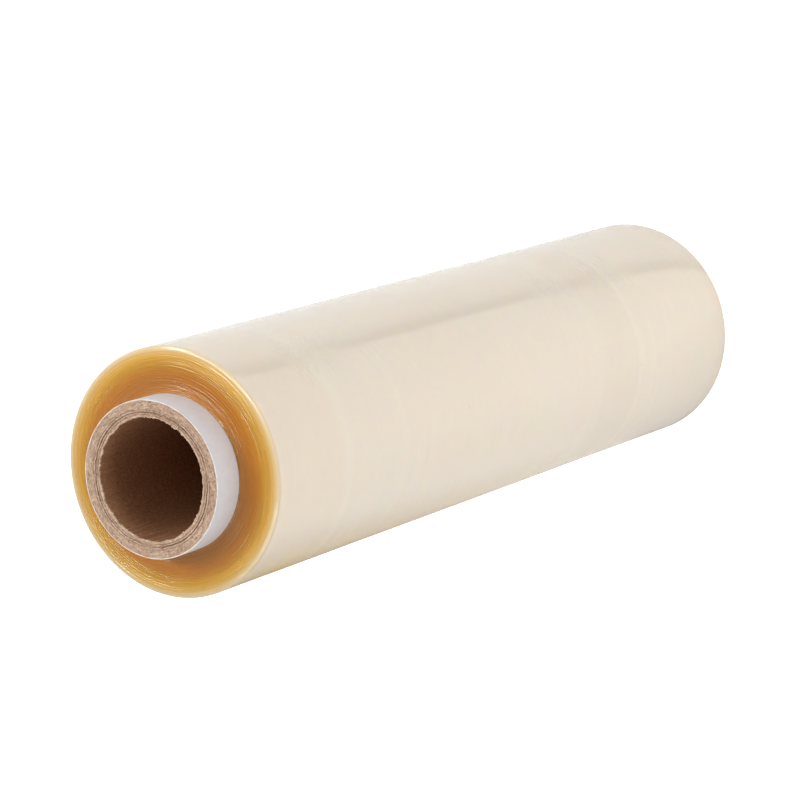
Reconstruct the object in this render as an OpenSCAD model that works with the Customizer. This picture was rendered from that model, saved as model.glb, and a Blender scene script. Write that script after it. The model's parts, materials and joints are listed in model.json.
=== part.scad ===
// A roll of cling film wound on a cardboard core, standing on one end of the core.
// The roll's axis is Z, and the origin is at the centre of the end that it stands on.
// Lengths are in millimetres.

/* [Film] */
// Width of the film, measured along the roll
film_w = 300; // [100:1:600]
// Thickness of the wound film, from the core out to the last turn
film_build = 14.8; // [8:0.1:60]
// Radius of the soft shoulder round each rim of the film
shoulder_r = 0.8; // [0.2:0.1:2]
// Number of bands of turns that can be told apart on each end of the film
turn_bands = 22; // [4:1:40]
// Furthest that a band of turns lies back from the end of the film
turn_relief = 0.3; // [0.05:0.05:0.8]

/* [Core] */
// Bore of the core, for a spindle or a pair of end plugs
core_bore_d = 39; // [20:0.1:80]
// Wall of the brown board
board_wall = 5; // [2:0.05:10]
// Number of plies wound and glued into the board
board_plies = 6; // [2:1:9]
// Width of the glue line that shows between two plies at a cut end
glue_line_w = 0.12; // [0.06:0.01:0.2]
// Depth of that glue line
glue_line_depth = 0.35; // [0.1:0.05:1]
// Thickness of the white paper wound over the board
paper_t = 0.45; // [0.1:0.05:1]
// Length of core that stands clear of the film at each end
core_out = 11.5; // [2:0.1:40]

/* [Hidden] */
// Faces of a preview circle
$fn = 180;
// Room that a cut runs past the face that it starts from
cut_over = 1;
// Number of straight steps that make up a shoulder's quarter round
shoulder_steps = 8;
// Share of a band's width that each of its two flanks takes
band_flank = 0.2;
// Degrees from one band's height to the next, so that no two neighbours match
band_step_deg = 137.5;

bore_r = core_bore_d / 2;
board_r = bore_r + board_wall;
core_r = board_r + paper_t;
film_r = core_r + film_build;
core_l = film_w + 2 * core_out;
film_low = core_out;
film_high = core_out + film_w;
ply_t = board_wall / board_plies;
band_w = (film_build - shoulder_r) / turn_bands;

// How far band number i, counted from the core, lies back from the end of the film.
function band_back(i) = turn_relief * (1 - cos(i * band_step_deg)) / 2;

// The line across one end of the wound film, from the core out to where the shoulder starts.
// end_z is the height of that end, and facing is 1 for the upper end and -1 for the lower.
function end_line(end_z, facing) = [
    for (i = [0 : turn_bands - 1], side = [0, 1])
    [
        core_r + (i + (side == 0 ? band_flank : 1 - band_flank)) * band_w,
        end_z - facing * band_back(i)
    ]
];

// The quarter round from the end of the film over on to its side, at one rim.
function shoulder_line(end_z, facing) = [
    for (step = [0 : shoulder_steps])
    let (turn = 90 * step / shoulder_steps)
    [
        film_r - shoulder_r * (1 - sin(turn)),
        end_z - facing * shoulder_r * (1 - cos(turn))
    ]
];

// The same points in the opposite order.
function reversed(points) = [for (i = [len(points) - 1 : -1 : 0]) points[i]];

// One end of the section, from the core out to the side of the film.
function rim_line(end_z, facing) = concat(
    [[core_r, end_z - facing * band_back(0)]],
    end_line(end_z, facing),
    shoulder_line(end_z, facing)
);

// Half of the film's section, to be turned about the roll's axis.
module film_half_section() {
    polygon(concat(rim_line(film_high, 1), reversed(rim_line(film_low, -1))));
}

// The wound film. Its turns are one solid, and their edges show as bands on both ends.
module film_roll() {
    color("#E9DBC3")
        rotate_extrude()
            film_half_section();
}

// The glue lines between the plies, as shallow rings cut down into a cut end.
module glue_lines() {
    for (ply = [1 : board_plies - 1]) {
        r = bore_r + ply * ply_t;
        difference() {
            cylinder(h = glue_line_depth + cut_over, r = r + glue_line_w / 2);
            translate([0, 0, -cut_over])
                cylinder(h = glue_line_depth + 3 * cut_over, r = r - glue_line_w / 2);
        }
    }
}

// The brown board tube, spiral wound from several plies and cut square at both ends.
module core_board() {
    color("#B98F6E")
        difference() {
            cylinder(h = core_l, r = board_r);
            translate([0, 0, -cut_over])
                cylinder(h = core_l + 2 * cut_over, r = bore_r);
            translate([0, 0, core_l - glue_line_depth])
                glue_lines();
            translate([0, 0, glue_line_depth])
                mirror([0, 0, 1])
                    glue_lines();
        }
}

// The white paper ply that covers the board from end to end.
module core_paper() {
    color("#F1ECE8")
        difference() {
            cylinder(h = core_l, r = core_r);
            translate([0, 0, -cut_over])
                cylinder(h = core_l + 2 * cut_over, r = board_r);
        }
}

film_roll();
core_board();
core_paper();
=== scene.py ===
# A roll of cling film, standing on one end of its cardboard core, with its finishes and a small studio.
# It is laid out as an add-on: one operator for each piece, one for the stage, and a panel that lists them.
# Lengths are in metres unless a name ends in _mm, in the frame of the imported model.
import json
import math
from functools import partial

import bmesh
import bpy
from mathutils import Matrix, Vector, noise


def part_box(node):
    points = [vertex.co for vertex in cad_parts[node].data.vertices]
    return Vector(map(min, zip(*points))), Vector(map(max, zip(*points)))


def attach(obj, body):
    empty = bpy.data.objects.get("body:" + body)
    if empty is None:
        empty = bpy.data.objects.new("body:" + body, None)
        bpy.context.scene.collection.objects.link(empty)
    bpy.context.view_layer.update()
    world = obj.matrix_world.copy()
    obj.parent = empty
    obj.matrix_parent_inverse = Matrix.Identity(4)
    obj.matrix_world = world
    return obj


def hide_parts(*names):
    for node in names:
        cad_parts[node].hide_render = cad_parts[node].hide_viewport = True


bl_info = {
    "name": "Cling film roll",
    "version": (1, 0, 0),
    "blender": (4, 5, 0),
    "location": "View3D > Sidebar > Film roll",
    "description": "Builds a roll of cling film on a cardboard core, with its materials and a studio",
    "category": "Add Mesh",
}

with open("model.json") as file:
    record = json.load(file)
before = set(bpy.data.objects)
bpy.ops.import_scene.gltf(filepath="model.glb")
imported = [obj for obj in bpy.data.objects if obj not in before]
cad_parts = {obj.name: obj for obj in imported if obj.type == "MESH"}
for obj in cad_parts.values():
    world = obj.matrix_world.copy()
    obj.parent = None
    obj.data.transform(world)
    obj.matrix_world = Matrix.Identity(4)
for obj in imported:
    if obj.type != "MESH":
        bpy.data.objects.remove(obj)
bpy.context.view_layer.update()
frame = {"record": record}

MM = 0.001

# Points of a mesh that are closer than this are one.
WELD = 0.002 * MM

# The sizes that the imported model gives. The film, the board and the paper share one axis, which is Z.
FILM_LOW, FILM_HIGH = (corner.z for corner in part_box("film_roll"))
FILM_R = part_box("film_roll")[1].x
CORE_LOW, CORE_HIGH = (corner.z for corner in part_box("core_board"))
BOARD_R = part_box("core_board")[1].x
CORE_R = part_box("core_paper")[1].x
BORE_R = next(m for m in frame["record"]["mounts"] if m["name"] == "core_bore")["dims"]["r_mm"] * MM


def linear(hex_colour):
    """The linear red, green and blue of an sRGB colour such as '#E9DBC3'."""
    parts = [int(hex_colour[i:i + 2], 16) / 255 for i in (1, 3, 5)]
    return tuple(c / 12.92 if c <= 0.04045 else ((c + 0.055) / 1.055) ** 2.4 for c in parts)


def size_prop(name, description, default_mm, low_mm, high_mm):
    """A length that a user can change, shown in Blender's own unit."""
    return bpy.props.FloatProperty(
        name=name, description=description, default=default_mm * MM,
        min=low_mm * MM, max=high_mm * MM, subtype="DISTANCE", unit="LENGTH", precision=5,
    )


def colour_prop(name, description, hex_colour):
    """A colour that a user can change."""
    return bpy.props.FloatVectorProperty(
        name=name, description=description, default=linear(hex_colour),
        min=0.0, max=1.0, size=3, subtype="COLOR",
    )


class FilmSettings(bpy.types.PropertyGroup):
    """Sizes and colours of the wound film."""

    around: bpy.props.IntProperty(
        name="Steps around", description="Steps that the film's outline is spun in",
        default=288, min=48, max=360)
    end_rings: bpy.props.IntProperty(
        name="Rings on an end", description="Rings of turn edges modelled on each end",
        default=112, min=20, max=140)
    side_rings: bpy.props.IntProperty(
        name="Rings on the side", description="Rings along the side of the film",
        default=96, min=20, max=140)
    shoulder: size_prop("Shoulder", "How far back the soft rim runs at each end of the film", 0.8, 0.2, 2.0)
    shoulder_in: size_prop("Shoulder width", "How far in the soft rim starts on the end", 1.5, 0.2, 3.0)
    relief: size_prop("Turn relief", "Furthest that a turn's edge lies back from the end", 0.3, 0.05, 0.8)
    gauge: size_prop("Gauge bands", "How far the film's uneven gauge lowers its side", 0.06, 0.0, 0.3)
    cream: colour_prop("Cream", "Colour of the film seen through many turns", "#EBE0D0")


class CoreSettings(bpy.types.PropertyGroup):
    """Sizes and colours of the core."""

    around: bpy.props.IntProperty(
        name="Steps around", description="Steps that the core's outline is spun in",
        default=480, min=96, max=720)
    plies: bpy.props.IntProperty(
        name="Plies", description="Plies of board glued into the core's wall", default=6, min=2, max=9)
    glue_gap: size_prop("Glue line", "Width of the gap between two plies at a cut end", 0.12, 0.05, 0.3)
    glue_depth: size_prop("Glue line depth", "Depth of that gap", 0.35, 0.1, 1.0)
    burr: size_prop("Burr", "How far loose fibres stand into the bore at a cut end", 0.3, 0.0, 0.8)
    glue: colour_prop("Glue", "Colour of the glue lines between the plies", "#6B452E")
    paper: colour_prop("Paper", "Colour of the white outer ply", "#E1E2E8")


class StudioSettings(bpy.types.PropertyGroup):
    """The studio round the roll."""

    floor_side: bpy.props.FloatProperty(
        name="Floor", description="Side of the floor",
        default=8.0, min=2.0, max=20.0, subtype="DISTANCE", unit="LENGTH")
    backdrop: colour_prop("Backdrop", "Colour of the floor and of what is behind the roll", "#FFFFFF")


def deselect_all():
    """Leaves nothing selected, so that an operator acts on the new piece alone."""
    if bpy.context.mode != "OBJECT":
        bpy.ops.object.mode_set(mode="OBJECT")
    bpy.ops.object.select_all(action="DESELECT")


def lathe(name, outline, steps):
    """Turns a closed outline of (radius, height) points round Z into a new piece.

    The outline is drawn by extruding one vertex from point to point, spun through a quarter turn and
    mirrored."""
    deselect_all()
    bpy.ops.mesh.primitive_plane_add(size=MM, location=(0, 0, 0))
    piece = bpy.context.active_object
    piece.name = piece.data.name = name
    bpy.ops.object.mode_set(mode="EDIT")
    bpy.ops.mesh.merge(type="CENTER")
    points = [Vector((r, 0, z)) for r, z in outline]
    bpy.ops.transform.translate(value=points[0])
    for here, there in zip(points, points[1:] + points[:1]):
        bpy.ops.mesh.extrude_vertices_move(TRANSFORM_OT_translate={"value": there - here})
    bpy.ops.mesh.select_all(action="SELECT")
    bpy.ops.mesh.spin(steps=steps // 4, angle=math.pi / 2, center=(0, 0, 0), axis=(0, 0, 1))
    bpy.ops.object.mode_set(mode="OBJECT")
    mirror = piece.modifiers.new("mirror", "MIRROR")
    mirror.use_axis = (True, True, False)
    mirror.merge_threshold = WELD
    bpy.ops.object.modifier_apply(modifier="mirror")
    bpy.ops.object.mode_set(mode="EDIT")
    bpy.ops.mesh.select_all(action="SELECT")
    bpy.ops.mesh.remove_doubles(threshold=WELD)
    bpy.ops.mesh.normals_make_consistent(inside=False)
    bpy.ops.object.mode_set(mode="OBJECT")
    return piece


def sculpt(piece, move):
    """Moves each vertex of a piece by what move gives for its radius, direction from the axis and height."""
    mesh = bmesh.new()
    mesh.from_mesh(piece.data)
    for vertex in mesh.verts:
        radius = math.hypot(vertex.co.x, vertex.co.y)
        direction = Vector((vertex.co.x, vertex.co.y, 0)) / radius
        out, up = move(radius, direction, vertex.co.z)
        vertex.co += direction * out + Vector((0, 0, up))
    mesh.to_mesh(piece.data)
    mesh.free()


def waver(seed, *place):
    """A smooth, repeatable wander between about -1 and 1 over a place."""
    place = Vector(place) + Vector((seed * 17.3, seed * 5.9, seed * 11.1))
    return 2 * noise.noise(place)


def smooth_step(low, high, value):
    """0 below low, 1 above high, and an even curve between them."""
    share = max(0.0, min(1.0, (value - low) / (high - low)))
    return share * share * (3 - 2 * share)


def evenly(low, high, parts):
    """The places that divide a length into equal parts, without its two ends."""
    return [low + (high - low) * i / parts for i in range(1, parts)]


def from_nearer_end(z, low, high):
    """How far in from the nearer end a height lies, and 1 for the upper end or -1 for the lower."""
    return min(z - low, high - z), 1 if z > (low + high) / 2 else -1


def both_ends(end, low, high):
    """An end's (radius, distance back) points as the upper end, and reversed as the lower end."""
    upper = [(r, high - back) for r, back in end]
    lower = [(r, low + back) for r, back in reversed(end)]
    return upper, lower


def finish_piece(piece, node, material, smooth_deg=40):
    """Shades a piece, gives it its material and sets it on the roll in place of its plain solid."""
    deselect_all()
    piece.select_set(True)
    bpy.context.view_layer.objects.active = piece
    bpy.ops.object.shade_smooth_by_angle(angle=math.radians(smooth_deg))
    piece.data.materials.clear()
    piece.data.materials.append(material)
    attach(piece, "root")
    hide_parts(node)


# Strips of turns on the film's end, from the core out: where each starts and stops as a share of the build,
# how high its steps are as a share of the relief, and how wide they are.
TURN_STRIPS = (
    {"start": 0.00, "stop": 0.30, "height": 1.0, "width_mm": 0.46},
    {"start": 0.30, "stop": 0.60, "height": 0.35, "width_mm": 0.80},
    {"start": 0.60, "stop": 0.94, "height": 0.95, "width_mm": 0.54},
    {"start": 0.94, "stop": 1.01, "height": 0.2, "width_mm": 1.10},
)

# Width of the short slope at the outer side of a step.
STEP_SLOPE_MM = 0.2

# Shares of the relief: how far back the turns' edges lie, how high a step stands, and how far they wander.
TURN_BACK, TURN_STEP, TURN_WANDER = 0.4, 0.3, 0.08

# The rim's slope takes this share of the shoulder's width and of its depth, and a round takes the rest.
RIM_SLOPE_WIDTH, RIM_SLOPE_FALL = 2 / 3, 0.28

# The turns' edges come up flush over this width before the rim. The gauge bands fade this far from an end.
FLUSH_MM = 0.4
GAUGE_FADE_MM = 6

# The film's thin places, where its side lies low: their heights, their half widths, and how low each lies. A
# ridge is left standing between two of them that are close.
GAUGE_BANDS_MM = (
    (71, 5.0, 1.0),
    (90, 9.0, 0.9),
    (117, 5.0, 0.8),
    (233, 5.0, 0.5),
    (243, 4.0, 0.5),
    (264, 7.0, 0.9),
    (283, 6.5, 0.9),
)

# The rings along the side stand this far apart where the gauge changes, and evenly over what is left.
FINE_RINGS_MM = ((60, 128), (228, 292))
FINE_RING_GAP_MM = 1.8


def turn_steps(flat):
    """The steps of the turns' edges over a flat of this width, as (start, end, height share)."""
    steps = []
    reach = 0.0
    while reach < flat:
        strip = next(s for s in TURN_STRIPS if s["start"] <= reach / flat < s["stop"])
        width = strip["width_mm"] * MM * (1 + 0.45 * waver(3, len(steps) * 1.37, 0, 0))
        height = strip["height"] * (0.75 + 0.35 * waver(4, len(steps) * 2.11, 0, 0))
        steps.append((reach, min(reach + width, flat), height))
        reach += width
    return steps


def turn_edge(reach, steps, settings):
    """How far the turns' edges lie back from the film's end, at a distance out from the core.

    A step rises gently outwards and then drops on a short slope, which is what catches the light."""
    inner, outer, height = next(s for s in steps if reach <= s[1] + 0.001 * MM)
    slope = min(STEP_SLOPE_MM * MM, 0.5 * (outer - inner))
    rising = (reach - inner) / (outer - slope - inner)
    falling = (outer - reach) / slope
    top = smooth_step(0, 1, min(rising, falling))
    wander = waver(6, reach / MM * 0.5, 0, 0)
    return settings.relief * (TURN_BACK - TURN_STEP * height * top + TURN_WANDER * wander)


def side_heights(settings):
    """The heights of the rings along the film's side, from the lower shoulder up."""
    heights = []
    for low_mm, high_mm in FINE_RINGS_MM:
        count = round((high_mm - low_mm) / FINE_RING_GAP_MM)
        heights += [(low_mm + (high_mm - low_mm) * i / count) * MM for i in range(count + 1)]
    ends = [FILM_LOW + settings.shoulder, FILM_HIGH - settings.shoulder]
    plain = [(ends[0], heights[0])]
    wide = 2 * FINE_RING_GAP_MM * MM
    plain += [(low, high) for low, high in zip(heights, heights[1:]) if high - low > wide]
    plain.append((heights[-1], ends[1]))
    gap = sum(high - low for low, high in plain) / (settings.side_rings - len(heights))
    for low, high in plain:
        heights += evenly(low, high, math.ceil((high - low) / gap))
    return sorted(heights)


def soft_rim(settings):
    """The rim from the flat of the end to the side, as (distance out, distance back): a slope that steepens
    slowly, and then a tighter round."""
    slope_width, slope_fall = settings.shoulder_in * RIM_SLOPE_WIDTH, settings.shoulder * RIM_SLOPE_FALL
    points = [(slope_width * k / 4, slope_fall * (k / 4) ** 2) for k in (1, 2, 3, 4)]
    round_width, round_fall = settings.shoulder_in - slope_width, settings.shoulder - slope_fall
    start = math.atan(2 * slope_fall / slope_width * round_width / round_fall)
    for k in range(1, 7):
        turn = start + (math.pi / 2 - start) * k / 6
        along = (math.sin(turn) - math.sin(start)) / (1 - math.sin(start))
        back = 1 - math.cos(turn) / math.cos(start)
        points.append((slope_width + round_width * along, slope_fall + round_fall * back))
    return points


def film_outline(settings):
    """The film's section: the upper end from the core out, the side down, and the lower end back in."""
    flat = FILM_R - settings.shoulder_in - CORE_R
    steps = turn_steps(flat)
    end = []
    for i in range(settings.end_rings + 1):
        reach = flat * i / settings.end_rings
        sunk = 1 - smooth_step(0, FLUSH_MM * MM, flat - reach)
        end.append((CORE_R + reach, turn_edge(reach, steps, settings) * (1 - sunk)))
    end += [(CORE_R + flat + along, back) for along, back in soft_rim(settings)]
    side = [(FILM_R, height) for height in reversed(side_heights(settings))]
    upper, lower = both_ends(end, FILM_LOW, FILM_HIGH)
    return upper + side + lower


def film_move(settings):
    """The film's unevenness: patchy gauge bands on its side, and a slow wander of the turns on its ends."""

    def move(radius, direction, z):
        z_mm = z / MM
        side = smooth_step(FILM_R - FLUSH_MM * MM, FILM_R - 0.02 * MM, radius)
        from_end, facing = from_nearer_end(z, FILM_LOW, FILM_HIGH)
        out = 0.0
        if side > 0:
            fade = smooth_step(0.0, GAUGE_FADE_MM * MM, from_end) * side
            around = direction * (FILM_R / MM)
            pucker = max(0.0, 0.6 + 0.5 * waver(9, around.x * 0.12, around.y * 0.12, z_mm * 0.3))
            out -= settings.gauge * 0.25 * fade * max(0.0, waver(7, 0, 0, z_mm * 0.035) + 1)
            for height_mm, half_mm, amount in GAUGE_BANDS_MM:
                near = math.exp(-(((z_mm - height_mm) / half_mm) ** 2))
                out -= settings.gauge * amount * fade * near * pucker
        up = 0.0
        if from_end < settings.relief * 1.2 and radius > CORE_R + 0.05 * MM:
            wander = waver(5, direction.x * 2.5, direction.y * 2.5, radius / MM * 1.6)
            up = 0.12 * settings.relief * min(0.0, wander - 1) * facing * (1 - side)
        return out, up

    return move


class ROLL_OT_wound_film(bpy.types.Operator):
    """Adds the wound film, with the edges of its turns on both ends and gauge bands along its side"""

    bl_idname = "cling_roll.wound_film"
    bl_label = "Wound film"

    def execute(self, context):
        settings = context.scene.cling_film
        piece = lathe("wound_film", film_outline(settings), settings.around)
        sculpt(piece, film_move(settings))
        finish_piece(piece, "film_roll", film_material(settings), smooth_deg=60)
        return {"FINISHED"}


# How open each glue line is, from the bore outwards, repeated if the core has more plies.
GLUE_OPENNESS = (0.5, 1.0, 0.5, 0.1, 0.05)

# Width of the edge that the saw leaves at the bore, and the number of steps along the bore.
SAWN_EDGE_MM = 0.12
BORE_STEPS = 24


def core_outline(settings):
    """The board's section, with a groove between each two plies at both ends."""
    ply = (BOARD_R - BORE_R) / settings.plies
    rim = SAWN_EDGE_MM * MM
    half = settings.glue_gap / 2
    end = [(BORE_R, rim), (BORE_R + rim * 0.4, rim * 0.3), (BORE_R + rim, 0.0)]
    for i in range(1, settings.plies):
        radius = BORE_R + ply * i
        depth = settings.glue_depth * GLUE_OPENNESS[(i - 1) % len(GLUE_OPENNESS)]
        outer = radius - 2 * half
        end += [(r, 0.0) for r in evenly(end[-1][0], outer, 4)]
        end += [(outer, 0.0), (radius - half, depth * 0.7), (radius, depth), (radius + half, depth * 0.7),
                (radius + 2 * half, 0.0)]
    outer = BOARD_R - rim * 0.3
    end += [(r, 0.0) for r in evenly(end[-1][0], outer, 4)]
    end += [(outer, 0.0), (BOARD_R, rim * 0.3)]
    upper, lower = both_ends(end, CORE_LOW, CORE_HIGH)
    bore = [(BORE_R, z) for z in evenly(CORE_LOW + rim, CORE_HIGH - rim, BORE_STEPS)]
    return upper + lower + bore


# How far in from a cut end the board is torn, how far its face is pushed about, and how far its outer skin is
# broken back.
TORN_MM = 1.2
TORN_PUSH_MM = 0.3
SKIN_BREAK_MM = 0.10


def core_move(settings):
    """The cut board's roughness: loose fibres at the bore's edge and a face that the cut has torn."""

    def move(radius, direction, z):
        from_end, facing = from_nearer_end(z, CORE_LOW, CORE_HIGH)
        if from_end > TORN_MM * MM:
            return 0.0, 0.0
        around = direction * (radius / MM)
        at_bore = 1 - smooth_step(0.0, 0.5 * MM, radius - BORE_R)
        in_wall = min(1.0, (radius - BORE_R) / (0.8 * MM), (BOARD_R - radius) / (0.8 * MM))
        slow = waver(19 + facing, direction.x * 1.8, direction.y * 1.8, 0)
        coarse = waver(11 + facing, around.x * 0.45, around.y * 0.45, 0)
        fine = waver(13 + facing, around.x * 1.6, around.y * 1.6, 0)
        out = -settings.burr * at_bore * max(0.0, 0.35 + 0.6 * coarse + 0.6 * fine)
        out += TORN_PUSH_MM * MM * in_wall * (slow + 0.3 * coarse)
        skin = 1 - smooth_step(BOARD_R - 0.3 * MM, BOARD_R, radius)
        broken = max(0.0, 1 + waver(15 + facing, around.x * 0.9, around.y * 0.9, 0)) / 2
        return out, -facing * SKIN_BREAK_MM * MM * skin * broken

    return move


class ROLL_OT_core_tube(bpy.types.Operator):
    """Adds the brown board tube, with its glued plies at the cut ends and loose fibres at the bore's edge"""

    bl_idname = "cling_roll.core_tube"
    bl_label = "Core tube"

    def execute(self, context):
        settings = context.scene.cling_core
        piece = lathe("core_tube", core_outline(settings), settings.around)
        sculpt(piece, core_move(settings))
        finish_piece(piece, "core_board", board_material(settings))
        return {"FINISHED"}


# How soft the paper's cut edges are, how far they wander, and the number of steps along its face.
PAPER_SOFT_MM = 0.08
PAPER_WANDER_MM = 0.05
PAPER_STEPS = 12


def paper_outline():
    """The paper's section, with edges that the cut has left a little soft."""
    soft = PAPER_SOFT_MM * MM
    middle = (BOARD_R + CORE_R) / 2
    end = [(BOARD_R, soft), (BOARD_R + soft, 0.0), (middle, 0.0), (CORE_R - soft, 0.0), (CORE_R, soft)]
    upper, lower = both_ends(end, CORE_LOW, CORE_HIGH)
    side = [(CORE_R, z) for z in evenly(CORE_HIGH - soft, CORE_LOW + soft, PAPER_STEPS)]
    return upper + side + lower


def paper_move(radius, direction, z):
    """The paper's cut edge, which wanders a little along its length."""
    from_end, facing = from_nearer_end(z, CORE_LOW, CORE_HIGH)
    if from_end > 0.3 * MM:
        return 0.0, 0.0
    around = direction * (radius / MM)
    wander = max(0.0, 1 + waver(17 + facing, around.x * 0.5, around.y * 0.5, 0)) / 2
    return 0.0, -facing * PAPER_WANDER_MM * MM * wander


class ROLL_OT_paper_ply(bpy.types.Operator):
    """Adds the white paper ply wound over the board from end to end"""

    bl_idname = "cling_roll.paper_ply"
    bl_label = "Paper ply"

    def execute(self, context):
        settings = context.scene.cling_core
        piece = lathe("paper_ply", paper_outline(), settings.around)
        sculpt(piece, paper_move)
        finish_piece(piece, "core_paper", paper_material(settings))
        return {"FINISHED"}


def add_node(tree, kind, inputs=None, stops=(), **settings):
    """Adds a node with these settings. An input is a plain value, a socket, or a node whose first output is
    used. A colour ramp's stops are (place, linear colour) pairs."""
    node = tree.nodes.new("ShaderNode" + kind)
    for name, value in settings.items():
        setattr(node, name, value)
    for key, value in (inputs or {}).items():
        if isinstance(value, bpy.types.Node):
            value = value.outputs[0]
        if isinstance(value, bpy.types.NodeSocket):
            tree.links.new(value, node.inputs[key])
        else:
            node.inputs[key].default_value = value
    for i, (place, colour) in enumerate(stops):
        if i >= len(node.color_ramp.elements):
            node.color_ramp.elements.new(1.0)
        node.color_ramp.elements[i].position = place
        node.color_ramp.elements[i].color = (*colour, 1)
    return node


# The sockets of a Mix node that mixes colours.
MIX_SHARE, MIX_FROM, MIX_TO, MIX_OUT = 0, 6, 7, 2


def emptied(owner):
    """Takes the nodes out of a new material or world. Returns it and add_node for its tree."""
    owner.use_nodes = True
    owner.node_tree.nodes.clear()
    return owner, partial(add_node, owner.node_tree)


def place_in_mm(add, low, high):
    """The point on the piece in millimetres, as (vector, x and y only, height, distance from the axis,
    distance in from the nearer end). The piece's ends are at low and high."""
    coordinates = add("TexCoord")
    place = add("VectorMath", {0: coordinates.outputs["Object"], "Scale": 1 / MM}, operation="SCALE")
    across = add("VectorMath", {0: place, 1: (1, 1, 0)}, operation="MULTIPLY")
    height = add("SeparateXYZ", {0: place}).outputs["Z"]
    radius = add("VectorMath", {0: across}, operation="LENGTH").outputs["Value"]
    off_middle = add("Math", {0: height, 1: (low + high) / 2 / MM}, operation="SUBTRACT")
    off_middle = add("Math", {0: off_middle}, operation="ABSOLUTE")
    inside = add("Math", {0: (high - low) / 2 / MM, 1: off_middle}, operation="SUBTRACT")
    return place, across, height, radius, inside


# Colours of the turns' edges from the core out to the rim, by distance from the axis.
END_TINTS_MM = (
    (25.0, "#B97C34"),
    (26.5, "#B07128"),
    (28.0, "#AB6C1A"),
    (30.0, "#AC6B10"),
    (32.0, "#B0700E"),
    (34.0, "#B78216"),
    (36.0, "#C4942F"),
    (37.5, "#CBA559"),
    (38.6, "#CFB584"),
    (39.3, "#D2C1A2"),
)

# Colour of the film's side right at its rims, where light comes in from the end.
RIM_TINT = "#E9DBC3"

# The direction across the roll in which its ends are painted palest: painted light, as if more light fell on
# that side.
PAINTED_LIGHT_SIDE = (0.77, -0.64)

# The film's shade along its side: a height, how light it is there, and how much warmer than the rest. Air
# between the turns makes a ridge pale, and where the turns are bedded down the film is clearer and so a
# little darker. The warmth towards the upper end is a painted glow of light that comes in through that end.
SIDE_SHADES_MM = (
    (11.5, 1.0, 0.0),
    (60.0, 1.0, 0.0),
    (76.8, 1.0, 0.0),
    (78.6, 1.025, -0.01),
    (80.4, 0.985, 0.01),
    (92.0, 0.978, 0.014),
    (104.0, 0.985, 0.01),
    (107.0, 1.0, 0.0),
    (150.0, 1.0, 0.0),
    (200.0, 0.997, 0.012),
    (236.0, 1.0, 0.0),
    (238.0, 1.012, -0.006),
    (240.0, 1.0, 0.0),
    (268.5, 1.0, 0.0),
    (272.0, 1.02, -0.012),
    (276.0, 1.0, 0.03),
    (300.0, 1.0, 0.035),
)

# Where the film has puckered in the winding: the heights between which it does, and how deep the puckers are.
PUCKERED_MM = (((60, 97), 0.9), ((106, 126), 1.0), ((234, 242), 0.5), ((252, 288), 1.2))

# The direction across the roll of the side that is puckered. The winder's roller has smoothed the rest.
PUCKER_SIDE = (0.56, -0.83)

# Specks of dust caught under the last turns, and one on the end.
SPECKS_MM = ((-8.9, -38.7, 198.0), (-13.6, -37.3, 78.0), (-37.0, 2.0, 311.3))


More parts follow.
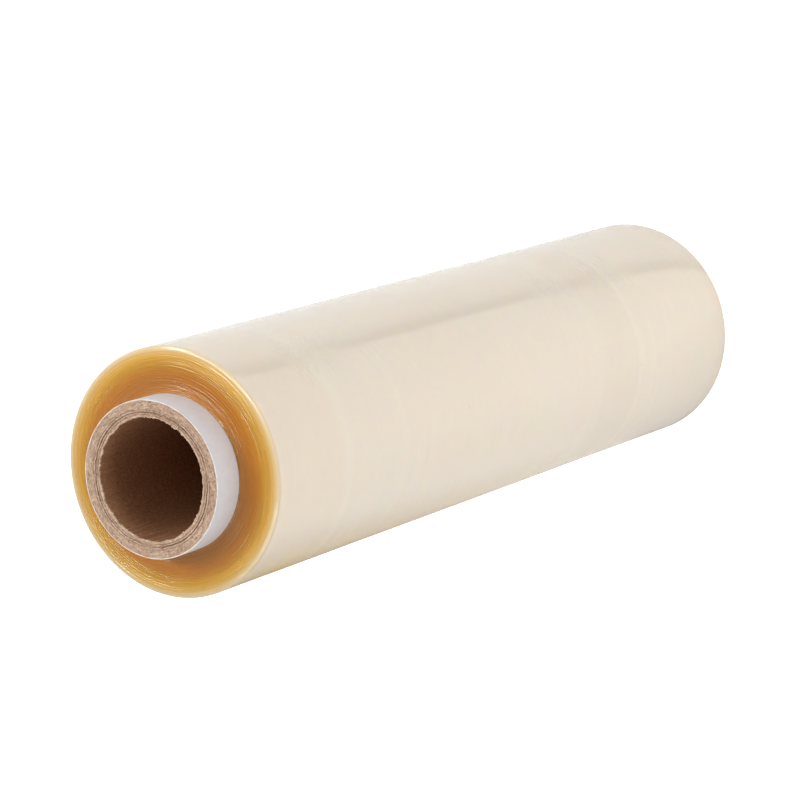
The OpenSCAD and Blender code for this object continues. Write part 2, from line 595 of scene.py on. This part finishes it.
def film_material(settings):
    """Soft PVC film, blown clear and wound tight. Many turns together look cream from the side. Light that
    runs down inside them comes out at their cut edges as amber. The outer face is glossy and shows faint
    marks of the winding."""
    material, add = emptied(bpy.data.materials.new("wound_soft_pvc_film"))
    place, across, height, radius, inside = place_in_mm(add, FILM_LOW, FILM_HIGH)
    low_mm, high_mm = FILM_LOW / MM, FILM_HIGH / MM
    core_mm, film_mm = CORE_R / MM, FILM_R / MM
    on_end = add("MapRange", {"Value": inside, "From Min": 1.0, "From Max": 0.55},
                 interpolation_type="SMOOTHSTEP")
    build_share = add("MapRange", {"Value": radius, "From Min": core_mm, "From Max": film_mm})
    stops = [((r - core_mm) / (film_mm - core_mm), linear(tint)) for r, tint in END_TINTS_MM]
    end_tint = add("ValToRGB", {0: build_share}, stops)

    # Single turns are a hundredth of a millimetre thick, too fine to show. The rings are 0.25 mm apart.
    ring_spacing_mm = 0.25
    ring_place = add("CombineXYZ", {"Z": radius})
    slow_round = add("VectorMath", {0: across, "Scale": 0.02}, operation="SCALE")
    ring_place = add("VectorMath", {0: ring_place, 1: slow_round}, operation="ADD")
    rings = add("TexNoise",
                {"Vector": ring_place, "Scale": 0.5 / ring_spacing_mm, "Detail": 3.0, "Roughness": 0.7})

    # They show where the strips of turns are rough. One side of the end is painted paler than the other, as
    # painted light.
    flat_mm = (FILM_R - settings.shoulder_in) / MM
    flat_share = add("MapRange", {"Value": radius, "From Min": core_mm, "From Max": flat_mm})
    soft_step = 0.02
    stops = []
    for strip in TURN_STRIPS:
        stops.append((strip["start"] + soft_step, (strip["height"],) * 3))
        stops.append((min(1.0, strip["stop"]) - soft_step, (strip["height"],) * 3))
    rough_strips = add("ValToRGB", {0: flat_share}, stops)
    ring_light = add("MapRange",
                     {"Value": rings, "From Min": 0.3, "From Max": 0.7, "To Min": -0.13, "To Max": 0.13})
    ring_light = add("Math", {0: ring_light, 1: rough_strips, 2: 1.0}, operation="MULTIPLY_ADD")
    # Painted light: the end's colour is scaled from 0.91 on one side to 1.06 on the other.
    towards = add("VectorMath", {0: across, 1: (*PAINTED_LIGHT_SIDE, 0)}, operation="DOT_PRODUCT")
    pale = add("MapRange",
               {"Value": towards.outputs["Value"], "From Min": -film_mm, "From Max": film_mm, "To Min": 0.91,
                "To Max": 1.06})
    ring_light = add("Math", {0: ring_light, 1: pale}, operation="MULTIPLY")
    end_colour = add("VectorMath", {0: end_tint, "Scale": ring_light}, operation="SCALE")

    # Winding marks on the side: streaks a few millimetres wide that run round the roll, a tenth of a turn or
    # so long. They come and go in patches.
    streak_mm = 2.5
    stretch = add("VectorMath", {0: place, 1: (0.04, 0.04, 1 / streak_mm)}, operation="MULTIPLY")
    streaks = add("TexNoise", {"Vector": stretch, "Scale": 1.0, "Detail": 4.0, "Roughness": 0.6})
    broad = add("TexNoise", {"Vector": place, "Scale": 0.03, "Detail": 2.0})
    patchy = add("MapRange", {"Value": broad, "From Min": 0.40, "From Max": 0.62})
    side_light = add("Math", {0: streaks, 1: 0.5}, operation="SUBTRACT")
    side_light = add("Math", {0: side_light, 1: patchy}, operation="MULTIPLY")
    side_light = add("Math", {0: side_light, 1: 0.07, 2: 1.0}, operation="MULTIPLY_ADD")

    # The shades along the side follow the height, with a wander of a millimetre or two.
    wander_mm = 6.0
    bent = add("Math", {0: broad, 1: wander_mm, 2: height}, operation="MULTIPLY_ADD")
    bent = add("Math", {0: bent, 1: wander_mm / 2}, operation="SUBTRACT")
    along = add("MapRange", {"Value": bent, "From Min": low_mm, "From Max": high_mm})
    red, green, blue = settings.cream
    stops = []
    for height_mm, light, warm in SIDE_SHADES_MM:
        shade = (red * light, green * light * (1 - warm / 2), blue * light * (1 - warm))
        stops.append(((height_mm - low_mm) / (high_mm - low_mm), shade))
    side_colour = add("ValToRGB", {0: along}, stops)
    side_colour = add("VectorMath", {0: side_colour, "Scale": side_light}, operation="SCALE")
    near_end = add("MapRange", {"Value": inside, "From Min": 2.5, "From Max": 0.6},
                   interpolation_type="SMOOTHSTEP")
    side_colour = add("Mix",
                      {MIX_SHARE: near_end, MIX_FROM: side_colour.outputs[0], MIX_TO: (*linear(RIM_TINT), 1)},
                      data_type="RGBA")
    colour = add("Mix",
                 {MIX_SHARE: on_end, MIX_FROM: side_colour.outputs[MIX_OUT], MIX_TO: end_colour.outputs[0]},
                 data_type="RGBA").outputs[MIX_OUT]
    for speck in SPECKS_MM:
        away = add("VectorMath", {0: place, 1: speck}, operation="DISTANCE")
        kept = add("MapRange",
                   {"Value": away.outputs["Value"], "From Min": 0.2, "From Max": 0.8, "To Min": 0.9,
                    "To Max": 1.0})
        colour = add("VectorMath", {0: colour, "Scale": kept}, operation="SCALE")
    roughness = add("MapRange",
                    {"Value": streaks, "From Min": 0.3, "From Max": 0.7, "To Min": 0.11, "To Max": 0.14})
    roughness = add("Math", {0: on_end, 1: 0.02, 2: roughness}, operation="MULTIPLY_ADD")

    # Puckers are about 1.3 mm apart along the roll and run slantwise.
    pucker_mm = 1.3
    slant = add("VectorMath", {0: place, 1: (0.3, 0.3, 1 / pucker_mm)}, operation="MULTIPLY")
    puckers = add("TexNoise", {"Vector": slant, "Scale": 1.0, "Detail": 2.0, "Distortion": 0.6})
    stops = [(0.0, (0, 0, 0)), (1.0, (0, 0, 0))]
    for bounds_mm, depth in PUCKERED_MM:
        start, stop = ((height_mm - low_mm) / (high_mm - low_mm) for height_mm in bounds_mm)
        soft = 0.2 * (stop - start)
        stops += [(start, (0, 0, 0)), (start + soft, (depth,) * 3)]
        stops += [(stop - soft, (depth,) * 3), (stop, (0, 0, 0))]
    puckered = add("ValToRGB", {0: along}, sorted(stops))
    towards = add("VectorMath", {0: across, 1: (*PUCKER_SIDE, 0)}, operation="DOT_PRODUCT")
    pucker_side = add("MapRange",
                      {"Value": towards.outputs["Value"], "From Min": 0.93 * film_mm,
                       "From Max": 0.99 * film_mm})
    pucker_height = add("Math", {0: puckers, 1: 0.5}, operation="SUBTRACT")
    pucker_height = add("Math", {0: pucker_height, 1: puckered}, operation="MULTIPLY")
    pucker_height = add("Math", {0: pucker_height, 1: pucker_side}, operation="MULTIPLY")
    side_bump = add("Bump", {"Height": pucker_height, "Strength": 1.0, "Distance": 0.3 * MM})
    ring_depth = add("Math", {0: on_end, 1: rough_strips}, operation="MULTIPLY")
    ring_bump = add("Bump",
                    {"Height": rings, "Strength": ring_depth, "Distance": 0.2 * MM, "Normal": side_bump})

    # The gloss comes back from a few turns deep as well, so it is tinted a little by the film.
    shader = add("BsdfPrincipled",
                 {"Base Color": colour, "Roughness": roughness, "Normal": ring_bump, "IOR": 1.52,
                  "Specular Tint": (1.0, 0.97, 0.87, 1), "Subsurface Weight": 0.85,
                  "Subsurface Radius": (1.0, 0.7, 0.35), "Subsurface Scale": 2 * MM})
    add("OutputMaterial", {"Surface": shader})
    return material


# How light each ply of the board is, from the bore outwards. They come from different makings of paper.
PLY_LIGHT = (1.0, 0.86, 0.97, 0.88, 0.93, 0.86)

# Colours of the board's fibres from the darkest specks to the palest, of the bore's paper, and of the white
# paper's cut edge from where board is smeared over it to where it is clean.
FIBRE_TINTS = ((0.33, "#6B4A37"), (0.44, "#AC8A72"), (0.55, "#C8AD96"), (0.68, "#E3D1C1"))
BORE_TINTS = ((0.30, "#876044"), (0.55, "#9C6F4F"), (0.75, "#AC7E5E"))
CUT_PAPER_TINTS = ((0.0, "#B89C85"), (1.0, "#E9E0DB"))


def board_material(settings):
    """Core board: recycled brown paper stock, spiral wound with glue and sawn. The bore is smooth and dull.
    The cut face is a felt of short pale fibres with darker specks, and the glue lines between the plies are
    dark."""
    material, add = emptied(bpy.data.materials.new("spiral_wound_core_board"))
    place, across, height, radius, inside = place_in_mm(add, CORE_LOW, CORE_HIGH)
    on_cut = add("MapRange", {"Value": inside, "From Min": 0.8, "From Max": 0.4},
                 interpolation_type="SMOOTHSTEP")

    # Fibres are about 0.05 mm thick and 1 to 2 mm long and lie round the tube, as the plies do. They are
    # drawn 0.25 mm thick so that they show.
    fibre_mm = 0.25
    round_tube = add("VectorMath", {0: across}, operation="NORMALIZE")
    round_tube = add("VectorMath", {0: round_tube, "Scale": 0.3 * BOARD_R / MM}, operation="SCALE")
    outward = add("CombineXYZ", {"Z": radius})
    laid = add("VectorMath", {0: round_tube, 1: outward}, operation="ADD")
    fibres = add("TexNoise",
                 {"Vector": laid, "Scale": 0.5 / fibre_mm, "Detail": 5.0, "Roughness": 0.75,
                  "Distortion": 1.6})
    clumps = add("TexNoise", {"Vector": laid, "Scale": 0.55, "Detail": 3.0, "Roughness": 0.6})
    face = add("ValToRGB", {0: fibres}, [(share, linear(tint)) for share, tint in FIBRE_TINTS])
    tuft = add("MapRange",
               {"Value": clumps, "From Min": 0.3, "From Max": 0.7, "To Min": 0.84, "To Max": 1.12})
    face = add("VectorMath", {0: face, "Scale": tuft}, operation="SCALE")

    # The plies are laid at equal steps from the bore out, and their lines wander by half a millimetre or so.
    ply_mm = (BOARD_R - BORE_R) / MM / settings.plies
    bend = add("TexNoise", {"Vector": across, "Scale": 0.06, "Detail": 2.0})
    bend = add("Math", {0: bend, 1: 0.5}, operation="SUBTRACT")
    bend = add("Math", {0: bend, 1: 1.6, 2: radius}, operation="MULTIPLY_ADD")
    wander = add("Math", {0: clumps, 1: 0.5}, operation="SUBTRACT")
    wander = add("Math", {0: wander, 1: 0.7, 2: bend}, operation="MULTIPLY_ADD")
    ply_place = add("Math", {0: wander, 1: BORE_R / MM}, operation="SUBTRACT")
    ply_place = add("Math", {0: ply_place, 1: 1 / ply_mm}, operation="MULTIPLY")
    ply_share = add("Math", {0: ply_place, 1: 1 / settings.plies}, operation="MULTIPLY")
    stops = []
    for ply, light in enumerate(PLY_LIGHT[:settings.plies]):
        stops += [((ply + edge) / settings.plies, (light,) * 3) for edge in (0.12, 0.88)]
    ply_light = add("ValToRGB", {0: ply_share}, stops)
    face = add("VectorMath", {0: face, 1: ply_light}, operation="MULTIPLY").outputs[0]

    # A glue line is dark, and pressed shut in places. Only the inner ones are open enough to show.
    pressed = add("TexNoise", {"Vector": across, "Scale": 0.12, "Detail": 3.0, "Roughness": 0.6})
    shown = add("MapRange", {"Value": pressed, "From Min": 0.36, "From Max": 0.56, "To Min": 0.3})
    for ply, openness in enumerate(GLUE_OPENNESS[:settings.plies - 1], start=1):
        off_line = add("Math", {0: ply_place, 1: float(ply)}, operation="SUBTRACT")
        off_line = add("Math", {0: off_line}, operation="ABSOLUTE")
        line = add("MapRange",
                   {"Value": off_line, "From Min": 0.30, "From Max": 0.06, "To Max": 0.8 * openness},
                   interpolation_type="SMOOTHSTEP")
        share = add("Math", {0: line, 1: shown}, operation="MULTIPLY")
        face = add("Mix", {MIX_SHARE: share, MIX_FROM: face, MIX_TO: (*settings.glue, 1)},
                   data_type="RGBA").outputs[MIX_OUT]

    # The bore's paper has a grain that runs along the tube.
    along_tube = add("VectorMath", {0: place, 1: (1, 1, 0.6)}, operation="MULTIPLY")
    grain = add("TexNoise", {"Vector": along_tube, "Scale": 1.6, "Detail": 3.0, "Roughness": 0.6})
    wall = add("ValToRGB", {0: grain}, [(share, linear(tint)) for share, tint in BORE_TINTS])
    colour = add("Mix", {MIX_SHARE: on_cut, MIX_FROM: wall.outputs[0], MIX_TO: face}, data_type="RGBA")
    smooth_wall = add("Math", {0: grain, 1: 0.3}, operation="MULTIPLY")
    relief = add("Mix", {MIX_SHARE: on_cut, 2: smooth_wall, 3: fibres}, data_type="FLOAT")
    bump = add("Bump", {"Height": relief, "Strength": 0.8, "Distance": 0.25 * MM})
    shader = add("BsdfPrincipled",
                 {"Base Color": colour.outputs[MIX_OUT], "Normal": bump, "Roughness": 0.9,
                  "Specular IOR Level": 0.2})
    add("OutputMaterial", {"Surface": shader})
    return material


def paper_material(settings):
    """Bleached wood-free paper, calendered on one side: white and dull, with a faint cloud of fibre."""
    material, add = emptied(bpy.data.materials.new("bleached_core_paper"))
    place, across, height, radius, inside = place_in_mm(add, CORE_LOW, CORE_HIGH)
    # Paper's cloud is a few millimetres across, and its tooth about 0.1 mm, drawn 0.3 mm so that it shows.
    cloud = add("TexNoise", {"Vector": place, "Scale": 0.3, "Detail": 4.0, "Roughness": 0.6})
    tooth = add("TexNoise", {"Vector": place, "Scale": 3.0, "Detail": 3.0, "Roughness": 0.7})
    light = add("MapRange",
                {"Value": cloud, "From Min": 0.3, "From Max": 0.7, "To Min": 0.95, "To Max": 1.02})
    face = add("VectorMath", {0: tuple(settings.paper), "Scale": light}, operation="SCALE")

    # At the cut the saw has drawn brown board over the inner part of the paper's edge, in a ragged line.
    smear = add("Math", {0: tooth, 1: 0.5, 2: radius}, operation="MULTIPLY_ADD")
    smear = add("Math", {0: cloud, 1: 0.7, 2: smear}, operation="MULTIPLY_ADD")
    board_mm = BOARD_R / MM
    clean = add("MapRange", {"Value": smear, "From Min": board_mm + 0.68, "From Max": board_mm + 0.95})
    cut = add("ValToRGB", {0: clean}, [(share, linear(tint)) for share, tint in CUT_PAPER_TINTS])
    on_cut = add("MapRange", {"Value": inside, "From Min": 0.22, "From Max": 0.12})
    colour = add("Mix", {MIX_SHARE: on_cut, MIX_FROM: face.outputs[0], MIX_TO: cut.outputs[0]},
                 data_type="RGBA")
    bump = add("Bump", {"Height": tooth, "Strength": 0.35, "Distance": 0.08 * MM})
    shader = add("BsdfPrincipled",
                 {"Base Color": colour.outputs[MIX_OUT], "Normal": bump, "Roughness": 0.7,
                  "Specular IOR Level": 0.35})
    add("OutputMaterial", {"Surface": shader})
    return material


# The photograph's viewpoint: the camera's place, and its right and up directions. The camera is turned so
# that the standing roll lies on its side in the picture.
CAMERA_AT = Vector((0.0, -0.67357, 1.19282))
CAMERA_RIGHT = Vector((-0.30044166, -0.79466595, -0.52748539))
CAMERA_UP = Vector((0.95380015, -0.25049118, -0.16588987))
LENS_MM = 161.11
SENSOR_MM = 36.0


def add_camera():
    """The camera at the photograph's viewpoint."""
    data = bpy.data.cameras.new("camera")
    data.lens = LENS_MM
    data.sensor_width = SENSOR_MM
    data.clip_start, data.clip_end = 0.05, 50
    camera = bpy.data.objects.new("camera", data)
    bpy.context.scene.collection.objects.link(camera)
    back = CAMERA_RIGHT.cross(CAMERA_UP)
    camera.matrix_world = Matrix((CAMERA_RIGHT, CAMERA_UP, back)).transposed().to_4x4()
    camera.location = CAMERA_AT
    bpy.context.scene.camera = camera


# The softboxes. Each faces the middle of the roll from a distance. Azimuth is counted from +X towards +Y, and
# turn_deg turns the box in its own plane. The upper strip gives the long glints on the edges of the turns.
# The foot fill stands for light off the ground, so the film's gloss doesn't show it.
SOFTBOXES = (
    {"name": "upper_strip", "azimuth_deg": 25, "elevation_deg": 67, "distance": 1.3, "width": 0.85,
     "height": 0.2, "power": 9.5, "turn_deg": -68, "in_gloss": True},
    {"name": "lower_strip", "azimuth_deg": 156, "elevation_deg": 62, "distance": 1.3, "width": 0.6,
     "height": 0.1, "power": 2.2, "turn_deg": 60, "in_gloss": True},
    {"name": "front_softbox", "azimuth_deg": -96, "elevation_deg": 10, "distance": 1.6, "width": 1.9,
     "height": 0.5, "power": 8.5, "turn_deg": 0, "in_gloss": True},
    {"name": "foot_fill", "azimuth_deg": -145, "elevation_deg": -19, "distance": 0.4, "width": 0.25,
     "height": 0.05, "power": 0.09, "turn_deg": 0, "in_gloss": False},
)


def add_softbox(name, azimuth_deg, elevation_deg, distance, width, height, power, turn_deg, in_gloss):
    """A rectangular softbox that faces the middle of the roll."""
    data = bpy.data.lights.new(name, "AREA")
    data.shape = "RECTANGLE"
    data.size = width
    data.size_y = height
    data.energy = power
    light = bpy.data.objects.new(name, data)
    bpy.context.scene.collection.objects.link(light)
    azimuth = math.radians(azimuth_deg)
    elevation = math.radians(elevation_deg)
    level = Vector((-math.sin(azimuth), math.cos(azimuth), 0))
    flat = math.cos(elevation)
    back = Vector((math.cos(azimuth) * flat, math.sin(azimuth) * flat, math.sin(elevation)))
    faced = Matrix((level, back.cross(level), back)).transposed().to_4x4()
    light.matrix_world = faced @ Matrix.Rotation(math.radians(turn_deg), 4, "Z")
    light.location = Vector((0, 0, (FILM_LOW + FILM_HIGH) / 2)) + back * distance
    light.visible_camera = False
    light.visible_glossy = in_gloss


def backdrop_shows(add):
    """1 for a ray from the camera, off a gloss or through a clear piece, where the backdrop is seen."""
    path = add("LightPath")
    seen = add("Math", {0: path.outputs["Is Camera Ray"], 1: path.outputs["Is Glossy Ray"]},
               operation="MAXIMUM")
    return add("Math", {0: seen, 1: path.outputs["Is Transmission Ray"]}, operation="MAXIMUM")


# What is added to the floor's own light where the camera sees it, and where a gloss shows it.
FLOOR_LIFT = 0.8
FLOOR_GLOSS_LIFT = 0.05


def floor_material(settings):
    """A white paper sweep. What is seen of it is lifted towards white, and keeps the roll's shadow."""
    material, add = emptied(bpy.data.materials.new("white_paper_sweep"))
    path = add("LightPath")
    to_camera, to_gloss = path.outputs["Is Camera Ray"], path.outputs["Is Glossy Ray"]
    for_camera = add("Math", {0: to_camera, 1: FLOOR_LIFT}, operation="MULTIPLY")
    for_gloss = add("Math", {0: to_gloss, 1: FLOOR_GLOSS_LIFT, 2: for_camera}, operation="MULTIPLY_ADD")
    paper = add("BsdfDiffuse", {"Color": (0.9, 0.9, 0.9, 1)})
    glow = add("Emission", {"Color": (*settings.backdrop, 1), "Strength": for_gloss})
    lifted = add("AddShader", {0: paper, 1: glow})
    add("OutputMaterial", {"Surface": lifted})
    return material


# How bright the tent is as a light, and how bright it looks where it is seen.
TENT_FILL = 0.48
TENT_SEEN = 1.0


def add_world(settings):
    """An even white tent. It fills the light, and is plain white where the backdrop shows."""
    bpy.context.scene.world, add = emptied(bpy.data.worlds.new("white_tent"))
    strength = add("MapRange", {"Value": backdrop_shows(add), "To Min": TENT_FILL, "To Max": TENT_SEEN})
    tent = add("Background", {"Color": (*settings.backdrop, 1), "Strength": strength})
    add("OutputWorld", {"Surface": tent})


# Two cards lie on the floor beside the roll, and show only in the film's gloss: they are painted reflections.
# Each is a fan about a point near the roll's foot. Its stops give its colour and how much it covers at an
# azimuth, counted from +X towards +Y, and inner_cover is the share of that at its inner edge. The first is
# black and draws the long line on the film, a painted dark reflection. The second is tan, and warms and
# darkens the film's lower edge with painted shade in its reflection.
CARDS = (
    {"name": "line_card", "pivot_mm": (0, -36), "inner_cover": 1.0,
     "stops": ((-21.5, "#000000", 0.0), (-19.5, "#000000", 0.9), (-12.0, "#000000", 0.55),
               (-4.0, "#000000", 0.1), (8.0, "#000000", 0.0))},
    {"name": "edge_card", "pivot_mm": (-38, 0), "inner_cover": 0.12,
     "stops": ((85.0, "#AE9156", 0.0), (95.0, "#AE9156", 1.0), (120.0, "#AE9156", 1.0),
               (138.0, "#C3A86C", 1.0), (156.0, "#B8A88C", 1.0), (175.0, "#B9B3A4", 0.6),
               (200.0, "#C8CCC4", 0.0))},
)

# A card's reach from its pivot, where its cover is full, its height over the floor, and its steps.
CARD_REACH_MM = 420
CARD_FULL_MM = 200
CARD_LIFT_MM = 2
CARD_STEPS = 24


def card_material(card):
    """A card that glows with its painted colour and is seen only in a gloss, as a painted reflection. It is
    clear where its cover is 0, so that it fades in and out round its fan.
    """
    material, add = emptied(bpy.data.materials.new(card["name"]))
    stops = card["stops"]
    first, last = stops[0][0], stops[-1][0]
    coordinates = add("TexCoord")
    x_mm, y_mm = card["pivot_mm"]
    # The fan is turned so that its middle lies along +X, where the angle doesn't wrap round.
    turned = add("Mapping",
                 {"Vector": coordinates.outputs["Object"], "Location": (x_mm * MM, y_mm * MM, 0),
                  "Rotation": (0, 0, math.radians((first + last) / 2))}, vector_type="TEXTURE")
    axes = add("SeparateXYZ", {0: turned})
    angle = add("Math", {0: axes.outputs["Y"], 1: axes.outputs["X"]}, operation="ARCTAN2")
    half = math.radians((last - first) / 2)
    share = add("MapRange", {"Value": angle, "From Min": -half, "From Max": half})
    tints = [((azimuth - first) / (last - first), linear(tint)) for azimuth, tint, cover in stops]
    paint = add("ValToRGB", {0: share}, tints)
    for element, (azimuth, tint, cover) in zip(paint.color_ramp.elements, stops):
        element.alpha = cover
    flat = add("VectorMath", {0: turned, 1: (1, 1, 0)}, operation="MULTIPLY")
    away = add("VectorMath", {0: flat}, operation="LENGTH")
    outward = add("MapRange",
                  {"Value": away.outputs["Value"], "From Max": CARD_FULL_MM * MM,
                   "To Min": card["inner_cover"]})
    cover = add("Math", {0: paint.outputs["Alpha"], 1: outward}, operation="MULTIPLY")
    clear = add("BsdfTransparent")
    painted = add("Emission", {"Color": paint})
    surface = add("MixShader", {0: cover, 1: clear, 2: painted})
    add("OutputMaterial", {"Surface": surface})
    return material


def add_card(card):
    """A card on the floor, in the shape of a fan, seen only in a gloss."""
    deselect_all()
    start = math.radians(card["stops"][0][0])
    sweep = math.radians(card["stops"][-1][0]) - start
    pivot = Vector((card["pivot_mm"][0] * MM, card["pivot_mm"][1] * MM, CORE_LOW + CARD_LIFT_MM * MM))
    bpy.ops.mesh.primitive_plane_add(size=MM, location=pivot)
    piece = bpy.context.active_object
    piece.name = card["name"]
    bpy.ops.object.transform_apply(location=True, rotation=False, scale=False)
    bpy.ops.object.mode_set(mode="EDIT")
    bpy.ops.mesh.merge(type="CENTER")
    first = Vector((math.cos(start), math.sin(start), 0)) * CARD_REACH_MM * MM
    bpy.ops.mesh.extrude_vertices_move(TRANSFORM_OT_translate={"value": first})
    bpy.ops.mesh.select_all(action="SELECT")
    # A positive angle spins from +Y towards +X here, so the sweep is turned round.
    bpy.ops.mesh.spin(steps=CARD_STEPS, angle=-sweep, center=pivot, axis=(0, 0, 1))
    bpy.ops.mesh.select_all(action="SELECT")
    bpy.ops.mesh.remove_doubles(threshold=0.01 * MM)
    bpy.ops.object.mode_set(mode="OBJECT")
    piece.data.materials.append(card_material(card))
    piece.visible_camera = piece.visible_diffuse = piece.visible_shadow = piece.visible_transmission = False


class ROLL_OT_studio(bpy.types.Operator):
    """Adds the camera, the white floor and tent, and the soft lights"""

    bl_idname = "cling_roll.studio"
    bl_label = "Studio"

    def execute(self, context):
        settings = context.scene.cling_studio
        add_camera()
        add_world(settings)
        deselect_all()
        bpy.ops.mesh.primitive_plane_add(size=settings.floor_side, location=(0, 0, CORE_LOW))
        floor = context.active_object
        floor.name = "floor"
        floor.data.materials.append(floor_material(settings))
        for softbox in SOFTBOXES:
            add_softbox(**softbox)
        for card in CARDS:
            add_card(card)
        context.scene.view_settings.view_transform = "Standard"
        return {"FINISHED"}


class ROLL_PT_panel(bpy.types.Panel):
    """Lists the roll's pieces and their settings"""

    bl_label = "Cling film roll"
    bl_idname = "ROLL_PT_panel"
    bl_space_type = "VIEW_3D"
    bl_region_type = "UI"
    bl_category = "Film roll"

    def draw(self, context):
        for group_name, operators in PANEL_ROWS:
            column = self.layout.column()
            group = getattr(context.scene, group_name)
            for setting in group.__annotations__:
                column.prop(group, setting)
            for operator in operators:
                column.operator(operator.bl_idname)


PANEL_ROWS = (
    ("cling_film", (ROLL_OT_wound_film,)),
    ("cling_core", (ROLL_OT_core_tube, ROLL_OT_paper_ply)),
    ("cling_studio", (ROLL_OT_studio,)),
)
SETTINGS = {"cling_film": FilmSettings, "cling_core": CoreSettings, "cling_studio": StudioSettings}
OPERATORS = (ROLL_OT_wound_film, ROLL_OT_core_tube, ROLL_OT_paper_ply, ROLL_OT_studio)
CLASSES = (*SETTINGS.values(), *OPERATORS, ROLL_PT_panel)


def register():
    """Registers the settings, the operators and the panel."""
    for cls in CLASSES:
        bpy.utils.register_class(cls)
    for name, group in SETTINGS.items():
        setattr(bpy.types.Scene, name, bpy.props.PointerProperty(type=group))


def unregister():
    """Takes them all out again."""
    for name in SETTINGS:
        delattr(bpy.types.Scene, name)
    for cls in reversed(CLASSES):
        bpy.utils.unregister_class(cls)


def main():
    """Builds the roll and its studio."""
    register()
    bpy.ops.cling_roll.studio()
    bpy.ops.cling_roll.core_tube()
    bpy.ops.cling_roll.paper_ply()
    bpy.ops.cling_roll.wound_film()


if __name__ == "__main__":
    main()
